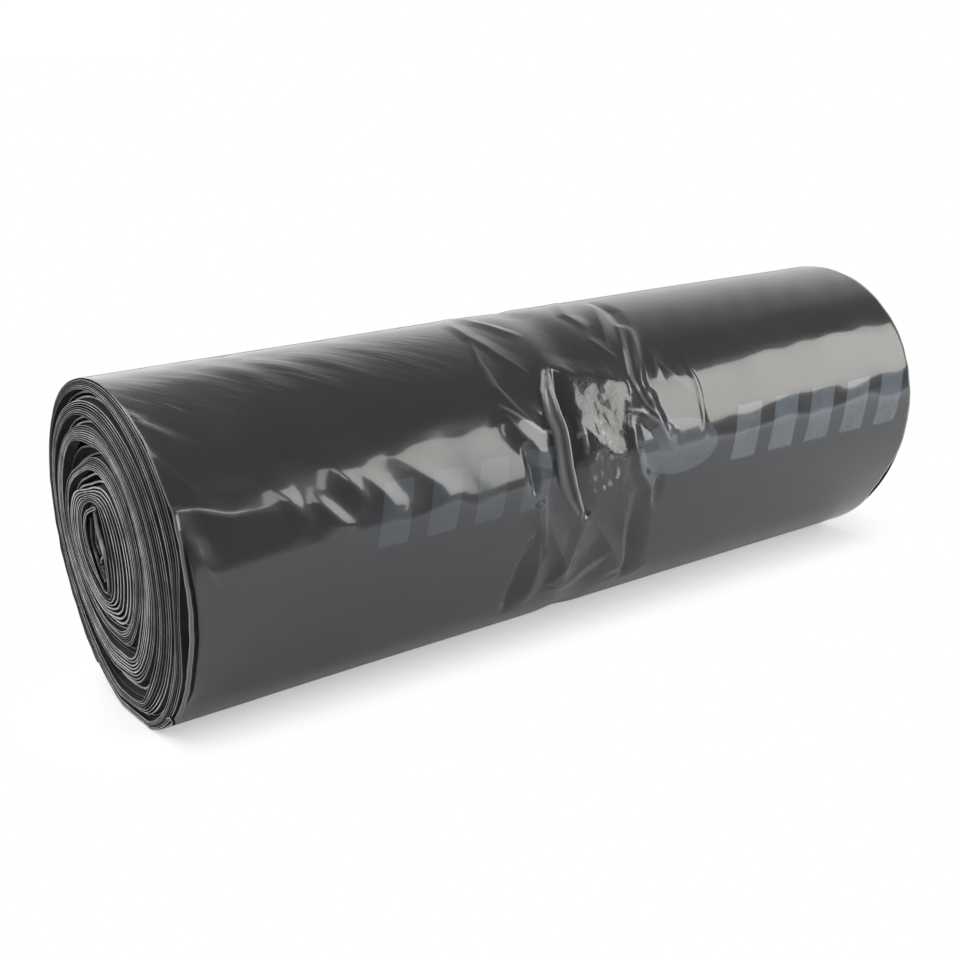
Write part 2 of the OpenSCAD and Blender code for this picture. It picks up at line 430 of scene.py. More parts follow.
def filmRelief(x, a):
    # how high and how matt the film is over each place, and where a highlight is painted on it (pale)
    width = outerFilm["bandWidth"]
    rise = -outerFilm["bandDepth"] * np.where(np.abs(x) < width / 2, cosd(180 * x / width) ** 2, 0)
    pale = np.zeros_like(x)
    low = 1 - outerFilm["restShare"] * zone("resting", a)
    for fold in gatherFolds + backFolds() + slackFolds + edgeFolds:
        height, line = alongFold(x, a, fold)
        rise = rise + height * low
        pale = np.maximum(pale, line)
    patch = np.zeros_like(x)
    for dx, da, reach in bondPatches:
        patch = np.maximum(patch, np.exp(-(((x - dx) ** 2 + (a - da) ** 2) / reach ** 2) ** 2))
    crumple = uneven("patch", x, a) + uneven("finePatch", x, a)
    rise = rise + outerFilm["crumple"] * patch * crumple
    # painted glints: pale specks on the tops of the crumpled patches, low on the front
    pale = np.maximum(pale, 0.7 * patch * smooth(0.22, 0.5, crumple) * smooth(58, 63, a))
    # the whole film is a little slack, and more so in places
    slack = 0.5 + 0.5 * smooth(-60, -150, x)
    rise = rise + slack * uneven("slack", x, a) + uneven("broad", x, a)
    looser = smooth(56, 80, x) + zone("looseLeft", x)
    rise = rise + looser * uneven("loose", x, a) * zone("looseFront", a)
    # faint slanting streaks on the upper half
    slope = np.where(x < 0, -1.0, 1.0)
    streaks = uneven("streak", x * 0.8 + slope * a * 0.6, a * 0.8 - slope * x * 0.6)
    rise = rise + zone("streaks", a) * smooth(40, 60, np.abs(x)) * streaks
    # the bonded film is finely crumpled, so it shines less
    bondEdge = x - 0.12 * (a - 40)
    matt = smooth(-11, -5, bondEdge) * smooth(24, 15, x) * zone("matt", a)
    bonded = smooth(-9, -4, bondEdge) * smooth(20, 12, x) * zone("bonded", a)
    rise = rise + bonded * (uneven("bonded", x, a) + uneven("fineBonded", x, a))
    return rise, pale, matt


def buildOuterFilm():
    xs, rows = stationList(filmGrid["columns"]), stationList(filmGrid["rows"])
    lipTuck, lipDrop = np.array(outerFilm["lipTuck"]), np.array(outerFilm["lipDrop"])
    lipSteps = len(lipTuck) - 1
    columns = len(xs) + 2 * lipSteps
    tail = roll["tailAngle"]

    def shape(col, row):
        x = xs[np.clip(col - lipSteps, 0, len(xs) - 1)]
        a = rows[row]
        rise, pale, matt = filmRelief(x, a)
        # the fin takes its film from both sides of its foot
        foot = np.interp(a, finRoute["angles"], finRoute["foot"])
        fin = np.interp(a, finRoute["angles"], finRoute["height"], left=0, right=0)
        u = (x - foot) / outerFilm["finReach"]
        inFin = (np.abs(u) < 1) & (fin > 0)
        mix = np.clip(fin * 3, 0, 1)
        # painted highlight on the fin's crest and left flank, and at its tip
        pale = np.where(inFin, mix * np.interp(u, finSection["u"], finSection["pale"]), pale)
        tipX, tipA, tipReach = finRoute["tip"]
        pale = np.maximum(pale, np.exp(-(((x - tipX) ** 2 + (a - tipA) ** 2) / tipReach ** 2) ** 2))
        sideways = np.interp(u, finSection["u"], finSection["sideways"])
        x = np.where(inFin, x * (1 - mix) + (foot + sideways) * mix, x)
        up = np.interp(u, finSection["u"], finSection["up"])
        rise = rise + np.where(inFin, fin * outerFilm["finHeight"] * up, 0)
        # the free end stands a little proud, and the film dives under it after one turn
        rise = rise + tailRise(a - (tail - 360))
        rise = rise - outerFilm["underDrop"] * smooth(tail - 4, tail + 2, a)
        # cut edges: slightly uneven, rounded, then back along the inside
        slow, quick = outerFilm["edgeUneven"]
        ragged = slow * waves(a / 21, a * 0 + 0.3, 5.0) + quick * waves(a / 5, a * 0, 8.0)
        sign = np.where(col < columns / 2, -1.0, 1.0)
        endGap = halfLength - np.abs(x)
        rise = rise - outerFilm["edgeBend"] * np.clip(1 - endGap / outerFilm["lipRound"], 0, 1) ** 2
        lip = np.maximum(lipSteps - col, col - (columns - 1 - lipSteps))
        inside = lip > 0
        lip = np.clip(lip, 0, lipSteps)
        x = np.where(inside, sign * (halfLength - lipTuck[lip]), x)
        rise = np.where(inside, rise - lipDrop[lip], rise)
        drawn = np.where(sign > 0, outerFilm["drawnBack"] * zone("drawnBack", a), 0)
        inset = outerFilm["edgeInset"] + ragged + drawn
        x = x - sign * inset * smooth(outerFilm["edgeReach"], 0, endGap)
        y, z = ovalPoint(x, a, rise)
        # the cut edge is painted pale, partly as a painted highlight, fully round the front and faintly
        # behind
        lipMask = np.where(inside, 1.0, smooth(0.7, 0, endGap)) * (0.2 + 0.8 * zone("paintedEdgeHighlight", a))
        return placed(x, y, z), x * mm, a * mm, {"lip": lipMask, "pale": pale, "matt": matt}

    # the tucked inside of the cut edge takes the painted shade
    def paintedShadeFaces(col, row):
        return col < lipSteps - 2 or col > columns - lipSteps

    piece = gridPiece("outer_film", columns, len(rows), shape, True, paintedShadeFaces)
    print("outer film", columns, "by", len(rows))
    return piece


# Wound turns at the ends

winding = {
    "stepsPerTurn": 168,
    "valley": 4.0,          # depth between neighbouring turns
    "slackRecess": 2.6,
    "lipShare": 0.43,       # how much of each turn's room its lip fills
    "lipLimits": (0.25, 0.8),
    # where the film stands off the outer turns: degrees, reach and share of the way in; at the
    # far end the turns swell out to the film instead
    "rimGap": (98, 22, 0.06),
    "farRimGap": (118, 28, -0.06),
    "recess": 0.5,          # how far the outermost turns sit behind the film's cut edge
    "stagger": 0.16,        # unevenness of each turn's edge
    "splay": (-2.5, 0.96),  # how a bundle that stands out sits over, sideways and up, for each mm
    "holeShare": 0.02,      # the innermost turn keeps this far out of the hole
    "farStanding": 0.4,     # the far end's bundles stand out less
}

# Each bundle of turns: how many, how far it stands out, and its inner and outer edge as
# shares of the way from the hole to the rim, at these degrees round the end
bundleAngles = [-165, -140, -115, -90, -65, -42, -28, -12, 0, 12, 28, 60, 90, 120, 140, 155, 172]
tightBundles = [
    (3, 2.2, [0] * len(bundleAngles),
     [.06, .08, .11, .13, .11, .08, .06, .06, .06, .06, .06, .06, .06, .06, .06, .05, .05]),
    (7, 2.3,
     [.09, .13, .17, .19, .17, .13, .11, .09, .08, .07, .07, .07, .07, .07, .07, .06, .06],
     [.27, .35, .45, .54, .42, .28, .22, .22, .24, .28, .34, .36, .36, .35, .34, .29, .26]),
    (7, 1.8,
     [.32, .37, .45, .54, .48, .38, .34, .35, .35, .35, .35, .36, .36, .35, .35, .33, .32],
     [.39, .46, .56, .65, .55, .44, .40, .42, .47, .49, .51, .50, .49, .45, .43, .45, .42]),
    (8, 1.3,
     [.48, .50, .56, .66, .63, .63, .60, .53, .53, .54, .525, .50, .49, .46, .47, .52, .49],
     [.71, .75, .80, .84, .79, .72, .69, .67, .675, .655, .62, .62, .62, .64, .65, .67, .70]),
    (7, 0.9,
     [.83, .80, .81, .84, .84, .79, .78, .73, .70, .67, .63, .62, .62, .65, .67, .72, .85],
     [.94, .94, .93, .93, .94, .90, .865, .85, .85, .835, .82, .81, .81, .83, .86, .88, .92]),
    (6, 0.1,
     [.96, .95, .93, .935, .955, .95, .94, .925, .92, .90, .86, .81, .81, .84, .89, .93, .955],
     [1.0, 1.0, 1.0, 1.0, 1.0, 1.0, 1.0, 1.0, 1.0, 1.0, 1.0, 1.0, .975, .965, .985, 1.0, 1.0]),
]

# A few slack turns cross each gap between two bundles, further in
bundles = []
for number, bundle in enumerate(tightBundles):
    bundles.append(bundle)
    if number + 1 < len(tightBundles):
        above = tightBundles[number + 1]
        bundles.append((2, above[1], bundle[3], above[2]))


# A turn's cross-section: places across it as shares of its lip, and depths as shares of its
# valley; the outermost places are cut off halfway to the next turn
lipSection = {
    "places": [-9, -0.56, -0.5, -0.3, 0, 0.3, 0.5, 0.56, 9],
    "depths": [1.0, 1.0, 0.025, 0.006, 0, 0.006, 0.025, 1.0, 1.0],
}

# The hole's outline, clockwise from its upper right corner: degrees, sideways, up
holeRoute = {
    "angles": [0, 45, 90, 135, 168, 190, 225, 270, 300, 328, 360],
    "sideways": [14.2, 14.0, 12.0, 10.2, 9.6, 12.6, 17.2, 23.0, 24.0, 22.6, 14.2],
    "up": [70.2, 62.8, 55.0, 48.2, 43.2, 43.0, 47.6, 56.6, 61.6, 66.0, 70.2],
}


def windingPoint(x, share, a):
    # from the slit of the hole at share 0 to the rim at share 1: the hole is angular, and the
    # turns round off as they go out, as do the corners that the flat presses into the rim
    cy, cz, ry, rz = 0, 0, 0, 0
    for lag in (-2, -1, 0, 1, 2):
        here = (a + lag * (2 + 14 * smooth(0, 0.2, share))) % 360
        cy = cy + np.interp(here, holeRoute["angles"], holeRoute["sideways"]) / 5
        cz = cz + np.interp(here, holeRoute["angles"], holeRoute["up"]) / 5
        rimY, rimZ = ovalPoint(x, a + lag * 6 * np.clip(1.02 - share, 0, 1), -0.5)
        ry = ry + rimY / 5
        rz = rz + np.maximum(rimZ, 0.5) / 5
    return cy * (1 - share) + ry * share, cz * (1 - share) + rz * share


def endStance(endSign):
    # how much of its height a bundle stands out, and how it sits over: the far end is neater
    if endSign > 0:
        return 1, winding["splay"]
    return winding["farStanding"], (0, 0)


def buildTurns(name, endSign, seed):
    # one long strip wound outward; each turn is a thin rounded lip between steep walls
    lipPlaces, lipDepths = np.array(lipSection["places"]), np.array(lipSection["depths"])
    counts = [b[0] for b in bundles]
    starts = np.concatenate([[0], np.cumsum(counts)])
    steps = int(starts[-1]) * winding["stepsPerTurn"]

    def edgeAt(values, a):
        # a running mean over a few degrees takes the corners off
        angles = np.array(bundleAngles + [bundleAngles[0] + 360])
        total = 0
        for lag in (-10, -5, 0, 5, 10):
            total = total + np.interp((a + lag - angles[0]) % 360 + angles[0], angles, values + [values[0]])
        return total / 5

    end = -endSign * halfLength
    standing, splay = endStance(endSign)

    def shape(col, row):
        turn = col / winding["stepsPerTurn"]
        a = (turn * 360 + 200) % 360
        which = np.clip(np.searchsorted(starts, turn, side="right") - 1, 0, len(counts) - 1)
        share = np.zeros(len(col))
        place = turn - starts[which]
        hole, rim = windingPoint(end, 0.0, a), windingPoint(end, 1.0, a)
        spread = np.hypot(rim[0] - hole[0], rim[1] - hole[1])
        turnNumber = np.floor(turn)
        blend = turn - turnNumber

        def perTurn(seedShift):
            # one random value for each turn, running smoothly into the next
            first = waves(turnNumber * 5.37, turnNumber * 0 + 0.5, seed + seedShift)
            second = waves(turnNumber * 5.37 + 5.37, turnNumber * 0 + 0.5, seed + seedShift)
            return first * (1 - blend) + second * blend

        fill = winding["lipShare"] * (1 + 0.6 * perTurn(9.0))
        for k, (count, _, inner, outer) in enumerate(bundles):
            lo, hi = edgeAt(inner, a), edgeAt(outer, a)
            pitch = np.maximum((hi - lo) * spread / count, 0.02)
            offset = lipPlaces[row] * np.clip(fill * pitch, *winding["lipLimits"]) / pitch
            part = (place + np.clip(offset, -0.5, 0.5)) / count
            share = np.where(which == k, lo + (hi - lo) * part, share)
        # how far each turn stands out runs smoothly from bundle to bundle
        stepAt, stepOut, stepSink = [], [], []
        for k, bundle in enumerate(bundles):
            ease = 0.15 if bundle[0] > 1 else 0.05
            stepAt += [starts[k] + ease, starts[k + 1] - ease]
            stepOut += [bundle[1] * standing] * 2
            stepSink += [winding["slackRecess"] if k % 2 else 0] * 2
        out = np.interp(turn, stepAt, stepOut)
        sink = np.interp(turn, stepAt, stepSink)
        rough = 0.5 * waves(turn * 0.6, a / 80, seed) + perTurn(5.0)
        lipPlace = winding["stagger"] * rough * 2 - out + sink + winding["recess"]
        x = -halfLength + lipPlace + lipDepths[row] * winding["valley"]
        gapAt, gapReach, gapShare = winding["rimGap" if endSign > 0 else "farRimGap"]
        apart = np.clip(1 - ((a - gapAt) / gapReach) ** 2, 0, 1) ** 1.5 * smooth(0.78, 1.0, share)
        share = np.minimum(share - gapShare * apart, 1)
        y, z = windingPoint(end, np.maximum(share, winding["holeShare"]), a)
        outAll = out - tightBundles[-1][1] * standing
        y = y + splay[0] * outAll
        z = z + splay[1] * outAll
        z = np.maximum(z, 0.4 + 0.3 * lipDepths[row])
        # painted light and shade: lips are painted brighter low on the left, where light falls on them, and
        # darker on the outermost turns at the front and on the rim at the back, which lie in shade
        toFront = np.cos(np.radians(a - 85)) * smooth(0.58, 0.7, share)
        toBack = np.clip(np.cos(np.radians(a + 135)), 0, 1)
        rimBack = smooth(0.90, 0.95, share) * np.clip(-sind(a) * 1.6, 0, 1)
        paintedLightShade = (1 + 0.7 * toBack - 0.5 * np.clip(toFront, 0, 1)) * (1 - 0.85 * rimBack)
        lip = np.where(lipDepths[row] < 0.1, (0.6 + 1.8 * perTurn(3.0)) * paintedLightShade, 0)
        return placed(endSign * x, y, z), turn / 60, row / 8, {"lip": np.clip(lip, 0, 1)}

    # the walls and floors between turns take the painted shade
    def paintedShadeFaces(col, row):
        return row in (0, 1, 6, 7)

    piece = gridPiece(name, steps + 1, len(lipDepths), shape, endSign < 0, paintedShadeFaces)
    print(name, int(starts[-1]), "turns")
    return piece


# Loose film at the ends

looseFilm = {
    "thickness": 0.45,
    # how far each sheet stands out and runs back, then its route over the end: sideways, up,
    # and how pale the edge is, which is partly a painted highlight; the last is a small curl low at the
    # front, on the near end only
    "routes": [
        (1.2, 12, [(18.6, 67.5, .1), (19.4, 63, .15), (20, 59, .2), (18, 55, .3), (16, 52, .35),
                   (14, 49.5, .3), (12, 46, .1)]),
        (1.4, 12, [(15, 66.4, .1), (15.3, 62, .2), (15.8, 59, .35), (14, 57, .35), (12, 55.2, .4)]),
        (3.0, 12, [(15.6, 70.5, .4), (15.0, 68.5, .8), (14.3, 65.6, 1), (11.8, 61.4, 1),
                   (9.6, 57.4, 1), (8.6, 54.0, .5)]),
        (3.1, 12, [(14.9, 67.2, .5), (14.4, 64, 1), (13.2, 61.4, 1), (11.0, 57.8, 1), (10.2, 55.2, .6)]),
        (2.6, 12, [(9.8, 56.8, .9), (10.8, 54.8, 1), (12.3, 53.6, .9), (12.9, 52.0, .6), (11.2, 52.8, .3)]),
        (2.2, 12, [(11, 52, .3), (12.2, 50.4, .5), (10.4, 49.2, .4), (11.6, 47.6, .4),
                   (10.2, 46.4, .4), (11.2, 45.2, .3)]),
        (0.2, 1.2, [(-33.6, 10.0, .4), (-35.0, 11.3, .9), (-37.0, 11.8, 1), (-38.2, 10.6, 1),
                    (-37.4, 9.4, .9), (-36.2, 9.8, .7)]),
    ],
    "stepsEach": 40,
    "sway": 0.25,
}


def buildLooseFilm(name, endSign):
    # each route is a thin sheet running back into the roll, seen on its rounded front edge
    across = np.array([-1, -1, -1, -0.6, 0, 0.6, 1, 1, 1])
    depths = np.array([1, 0.08, 0.012, 0.003, 0, 0.003, 0.012, 0.08, 1])
    stepsEach, sway = looseFilm["stepsEach"], looseFilm["sway"]
    routes = looseFilm["routes"] if endSign > 0 else looseFilm["routes"][:-1]
    standing, splay = endStance(endSign)

    def shape(col, row):
        which = np.minimum(col // (stepsEach + 1), len(routes) - 1)
        t = (col % (stepsEach + 1)) / stepsEach
        y, z, tone, dy, dz, out, reach = np.zeros((7, len(col)))
        for k, (stands, back, route) in enumerate(routes):
            route = np.array(route)
            at = np.linspace(0, 1, len(route))
            mine = which == k
            # three looks along the route round its corners off
            for lag, weight in ((-0.09, 0.25), (0, 0.5), (0.09, 0.25)):
                here = np.clip(t[mine] + lag * t[mine] * (1 - t[mine]) * 4, 0, 1)
                y[mine] += weight * np.interp(here, at, route[:, 0])
                z[mine] += weight * np.interp(here, at, route[:, 1])
            tone[mine] = np.interp(t[mine], at, route[:, 2])
            out[mine] = stands * standing
            reach[mine] = back
            ahead, behind = t[mine] + 0.06, t[mine] - 0.06
            dy[mine] = np.interp(ahead, at, route[:, 0]) - np.interp(behind, at, route[:, 0])
            dz[mine] = np.interp(ahead, at, route[:, 1]) - np.interp(behind, at, route[:, 1])
        size = np.maximum(np.hypot(dy, dz), 0.01)
        half = looseFilm["thickness"] / 2 * np.minimum(1, np.minimum(t, 1 - t) * 12 + 0.1)
        out = out + 0.5 * waves(t * 5, which * 2.0, 1.5) * (reach > 5)
        y = y + across[row] * half * dz / size + sway * waves(t * 9, which * 3.0, 4.4)
        z = z - across[row] * half * dy / size + sway * waves(t * 9, which * 3.0, 7.7)
        x = -halfLength - out + depths[row] * reach
        y = y + splay[0] * out
        z = z + splay[1] * out
        lip = np.where(depths[row] < 0.1, tone, 0)
        return placed(endSign * x, y, z), t / 10, row / 60, {"lip": lip}

    # the sheet's faces that run back into the roll take the painted shade
    def paintedShadeFaces(col, row):
        return row in (0, 7)

    def left(col):
        # nothing bridges from one sheet to the next
        return col % (stepsEach + 1) == stepsEach

    piece = gridPiece(name, len(routes) * (stepsEach + 1), len(across), shape, endSign < 0, paintedShadeFaces, left)
    print(name)
    return piece


# Film that closes the hole further in

hollow = {
    "around": 72,
    "rings": 9,
    "depth": (7, 17),       # at the hole's edge and in its middle
    "crumple": 1.6,
    "edgeShare": 0.03,
    "tone": 0.12,
}


def buildHollow(name, endSign):
    def shape(col, row):
        a = col / hollow["around"] * 360 % 360
        share = row / (hollow["rings"] - 1)
        edgeY, edgeZ = windingPoint(-endSign * halfLength, hollow["edgeShare"], a)
        midY, midZ = np.mean(holeRoute["sideways"][:-1]), np.mean(holeRoute["up"][:-1])
        sideways, lift = endStance(endSign)[1]
        stands = tightBundles[0][1] - tightBundles[-1][1]
        y = edgeY * (1 - share) + midY * share + sideways * stands
        z = edgeZ * (1 - share) + midZ * share + lift * stands
        lo, hi = hollow["depth"]
        folds = hollow["crumple"] * waves(y / 3, z / 5, 12.0) * share
        x = -halfLength + lo + (hi - lo) * share + folds
        return placed(endSign * x, y, z), y * mm, z * mm, {"lip": hollow["tone"] + 0 * share}

    piece = gridPiece(name, hollow["around"] + 1, hollow["rings"], shape, endSign > 0)
    bm = bmesh.new()
    bm.from_mesh(piece.data)
    bmesh.ops.remove_doubles(bm, verts=bm.verts, dist=1e-6)
    bm.to_mesh(piece.data)
    bm.free()
    print(name)
    return piece


# Film finish

filmFinish = {
    "film": (0.034, 0.036, 0.040, 1),
    "filmCloud": (0.044, 0.047, 0.053, 1),
    # pale cut edges of the turns, partly the film's own and partly a painted highlight
    "lip": (0.50, 0.505, 0.52, 1),
    # painted shade: near-black between the turns
    "gap": (0.006, 0.006, 0.007, 1),
    # the outer film's pale cut edge, partly the film's own and partly a painted highlight
    "paleEdgeAndHighlight": (0.30, 0.30, 0.31, 1),
    # painted highlight along fold crests, on the fin and as specks on crumpled film
    "paintedHighlight": (0.58, 0.59, 0.60, 1),
    "print": (0.185, 0.220, 0.260, 1),
    "printShow": (0.55, 0.85),      # where the ink is worn and where it is full
    "ior": 1.5,
    "roughness": 0.20,
    "edgeRoughness": 0.26,
    "cloudRoughness": 0.06,
    "glossRoughness": 0.07,
    "grainHeight": 0.0004,
    "creaseHeight": 0.0005,
    "edgeHeight": 0.0002,
}

# Noise scales of the film's detail, from broad clouds of tone to fine crumples
filmGrain = {
    "tone": 30,
    "dull": 45,
    "streak": 60,
    "blotch": 90,
    "mottle": 130,
    "edge": 140,
    "shade": 200,
    "wear": 260,
    "crease": 330,
    "peel": 420,
    "crumple": 900,
}

# Printed bars round the front, in metres along the roll and round it
printBars = {
    "left": (-0.100, -0.020, 0.0205, 0.0125, 0.32),     # from, to, pitch, bar width, strength
    "right": (0.068, 0.176, 0.0215, 0.0135, 0.9),
    "oval": (0.0375, 0.0205, 0.62),                     # place, half width, strength
    "middle": 77.5 * mm,
    "height": 20.5 * mm,
    "slant": 0.32,
    "wear": 0.0016,
    "softness": 0.0005,
}


def nodeTools(tree):
    # short ways to add nodes and sums to one tree
    def put(socket, value):
        if hasattr(value, "links"):
            tree.links.new(value, socket)
        else:
            socket.default_value = value

    def sums(operation, a, b=0.0, c=0.0):
        node = tree.nodes.new("ShaderNodeMath")
        node.operation = operation
        for socket, value in zip(node.inputs, (a, b, c)):
            put(socket, value)
        return node.outputs[0]

    def product(*values):
        total = values[0]
        for value in values[1:]:
            total = sums("MULTIPLY", total, value)
        return total

    def ramp(value, lo, hi, outLo=0.0, outHi=1.0):
        node = tree.nodes.new("ShaderNodeMapRange")
        node.interpolation_type = "SMOOTHSTEP"
        put(node.inputs["Value"], value)
        for key, limit in zip(("From Min", "From Max", "To Min", "To Max"), (lo, hi, outLo, outHi)):
            node.inputs[key].default_value = limit
        return node.outputs["Result"]

    def tint(share, a, b):
        node = tree.nodes.new("ShaderNodeMix")
        node.data_type = "RGBA"
        put(node.inputs["Factor"], share)
        put(node.inputs["A"], a)
        put(node.inputs["B"], b)
        return node.outputs["Result"]

    def clouds(vector, grain, detail=3.0, lengths=None, spin=0.0):
        # noise of a named grain; lengths draw it out along each direction, and spin turns it first
        if lengths:
            turn = tree.nodes.new("ShaderNodeMapping")
            turn.vector_type = "TEXTURE"
            turn.inputs["Rotation"].default_value = (0, 0, spin)
            turn.inputs["Scale"].default_value = lengths
            tree.links.new(vector, turn.inputs["Vector"])
            vector = turn.outputs["Vector"]
        node = tree.nodes.new("ShaderNodeTexNoise")
        node.inputs["Scale"].default_value = filmGrain[grain]
        node.inputs["Detail"].default_value = detail
        tree.links.new(vector, node.inputs["Vector"])
        return node.outputs["Fac"]

    def bump(height, strength, distance, under=None):
        node = tree.nodes.new("ShaderNodeBump")
        node.inputs["Strength"].default_value = strength
        node.inputs["Distance"].default_value = distance
        put(node.inputs["Height"], height)
        if under is not None:
            tree.links.new(under, node.inputs["Normal"])
        return node.outputs["Normal"]

    def split(vector):
        node = tree.nodes.new("ShaderNodeSeparateXYZ")
        tree.links.new(vector, node.inputs[0])
        return node.outputs

    def coordinate(name):
        return tree.nodes.new("ShaderNodeTexCoord").outputs[name]

    def attribute(name):
        node = tree.nodes.new("ShaderNodeAttribute")
        node.attribute_name = name
        return node.outputs["Fac"]

    return SimpleNamespace(
        put=put, sums=sums, product=product, ramp=ramp, tint=tint, clouds=clouds, bump=bump,
        split=split, coordinate=coordinate, attribute=attribute,
    )


def newMaterial(name):
    mat = bpy.data.materials.new(name)
    mat.use_nodes = True
    return mat, mat.node_tree, nodeTools(mat.node_tree)


def printMask(kit, flatMap, worn):
    # slanted bars and one broad oval, from the film's own map
    sums, product, ramp = kit.sums, kit.product, kit.ramp
    parts = kit.split(flatMap)
    along, around = parts["X"], parts["Y"]
    soft, halfHeight = printBars["softness"], printBars["height"] / 2
    off = sums("SUBTRACT", around, printBars["middle"])
    wobble = sums("MULTIPLY", sums("SUBTRACT", worn, 0.5), printBars["wear"])
    rows = sums("ADD", sums("ABSOLUTE", off), wobble)
    inRow = ramp(rows, halfHeight - soft, halfHeight + soft, 1, 0)
    slid = sums("ADD", along, sums("MULTIPLY", off, printBars["slant"]))
    mask = 0.0
    for side in ("left", "right"):
        lo, hi, pitch, width, strength = printBars[side]
        cell = sums("PINGPONG", sums("SUBTRACT", slid, lo + width / 2), pitch / 2)
        bar = ramp(sums("ADD", cell, wobble), width / 2 - soft, width / 2 + soft, 1, 0)
        inside = sums("MULTIPLY", sums("GREATER_THAN", slid, lo), sums("LESS_THAN", slid, hi))
        mask = sums("MAXIMUM", mask, product(bar, inside, inRow, strength))
    centre, halfWidth, strength = printBars["oval"]
    dx = sums("DIVIDE", sums("SUBTRACT", along, centre), halfWidth)
    dy = sums("DIVIDE", off, halfHeight)
    square = sums("ADD", sums("MULTIPLY", dx, dx), sums("MULTIPLY", dy, dy))
    oval = ramp(sums("ADD", square, sums("MULTIPLY", wobble, 60)), 0.94, 1.06, 1, 0)
    return sums("MAXIMUM", mask, sums("MULTIPLY", oval, strength))


def printedFilmMaterial():
    mat, tree, kit = newMaterial("printedFilm")
    sums, product, ramp, tint, clouds = kit.sums, kit.product, kit.ramp, kit.tint, kit.clouds
    shader = tree.nodes["Principled BSDF"]
    shader.inputs["IOR"].default_value = filmFinish["ior"]
    shader.inputs["Coat Weight"].default_value = 1
    shader.inputs["Coat IOR"].default_value = filmFinish["ior"]
    shader.inputs["Coat Roughness"].default_value = filmFinish["glossRoughness"]
    place = kit.coordinate("Object")
    uvMap = tree.nodes.new("ShaderNodeUVMap")
    uvMap.uv_map = "filmMap"
    flat = uvMap.outputs["UV"]
    lip, pale, matt = (kit.attribute(name) for name in ("lip", "pale", "matt"))
    # black film with worn print, painted highlights along crests, and a pale cut edge that is partly a
    # painted highlight
    colour = tint(clouds(place, "tone", 5), filmFinish["film"], filmFinish["filmCloud"])
    worn = clouds(place, "wear", 4)
    blotches = sums("MULTIPLY", clouds(place, "blotch", 4), 0.6)
    blotches = sums("ADD", blotches, sums("MULTIPLY", worn, 0.4))
    ink = sums("MULTIPLY", printMask(kit, flat, worn), ramp(blotches, 0.30, 0.58, *filmFinish["printShow"]))
    colour = tint(ink, colour, filmFinish["print"])
    colour = tint(pale, colour, filmFinish["paintedHighlight"])
    colour = tint(lip, colour, filmFinish["paleEdgeAndHighlight"])
    kit.put(shader.inputs["Base Color"], colour)
    least, most = filmFinish["roughness"], filmFinish["roughness"] + filmFinish["cloudRoughness"]
    dull = ramp(clouds(place, "dull", 4), 0.35, 0.7, least, most)
    edgeDull = sums("MULTIPLY", lip, filmFinish["edgeRoughness"] - least)
    kit.put(shader.inputs["Roughness"], sums("ADD", dull, edgeDull))
    # drawn film has faint streaks round the roll, a mottle and a fine orange-peel
    grain = clouds(place, "streak", 3, (1, 8, 8))
    grain = sums("ADD", grain, sums("MULTIPLY", clouds(place, "mottle", 4), 0.9))
    grain = sums("ADD", grain, sums("MULTIPLY", clouds(place, "peel", 2), 0.08))
    normal = kit.bump(grain, 0.20, filmFinish["grainHeight"])
    # fine slanting creases near the top of the left half
    parts = kit.split(flat)
    fromTop, toFront = ramp(parts["Y"], 0.0, 0.012), ramp(parts["Y"], 0.024, 0.044, 1, 0)
    across = product(fromTop, toFront, ramp(parts["X"], -0.06, -0.03, 1, 0))
    creases = clouds(flat, "crease", 2, (9, 1, 1), math.radians(40))
    normal = kit.bump(sums("MULTIPLY", creases, across), 1.0, filmFinish["creaseHeight"], normal)
    # the bonded film is crumpled so finely that it shines less
    crumple = sums("MULTIPLY", clouds(place, "crumple", 3), matt)
    normal = kit.bump(crumple, 0.55, filmFinish["grainHeight"], normal)
    kit.put(shader.inputs["Normal"], normal)
    return mat


def woundFilmMaterial():
    # cut edges of the film: pale lips, partly a painted highlight, with painted black shade between them
    mat, tree, kit = newMaterial("woundFilm")
    ramp, clouds = kit.ramp, kit.clouds
    shader = tree.nodes["Principled BSDF"]
    shader.inputs["IOR"].default_value = filmFinish["ior"]
    place = kit.coordinate("Object")
    # the lips' pale colour, partly a painted highlight, varies unevenly
    worn = ramp(clouds(place, "edge", 4), 0.3, 0.7, 0.5, 1.1)
    pale = kit.sums("MULTIPLY", kit.attribute("lip"), worn)
    kit.put(shader.inputs["Base Color"], kit.tint(pale, filmFinish["gap"], filmFinish["lip"]))
    kit.put(shader.inputs["Roughness"], ramp(clouds(place, "blotch", 3), 0.3, 0.7, 0.24, 0.36))
    normal = kit.bump(clouds(place, "crumple", 3), 0.15, filmFinish["edgeHeight"])
    kit.put(shader.inputs["Normal"], normal)
    return mat


def shadedFilmMaterial():
    # painted shade: film seen edge-on deep between the turns, and inside the tucked cut edge, is coloured
    # nearly black
    mat, tree, kit = newMaterial("shadedFilm")
    shader = tree.nodes["Principled BSDF"]
    shader.inputs["Specular IOR Level"].default_value = 0.12
    place = kit.coordinate("Object")
    tone = kit.tint(kit.clouds(place, "shade", 4), filmFinish["gap"], filmFinish["film"])
    dull = kit.ramp(kit.clouds(place, "blotch", 3), 0.3, 0.7, 0.4, 0.55)
    kit.put(shader.inputs["Base Color"], tone)
    kit.put(shader.inputs["Roughness"], dull)
    return mat


# Studio

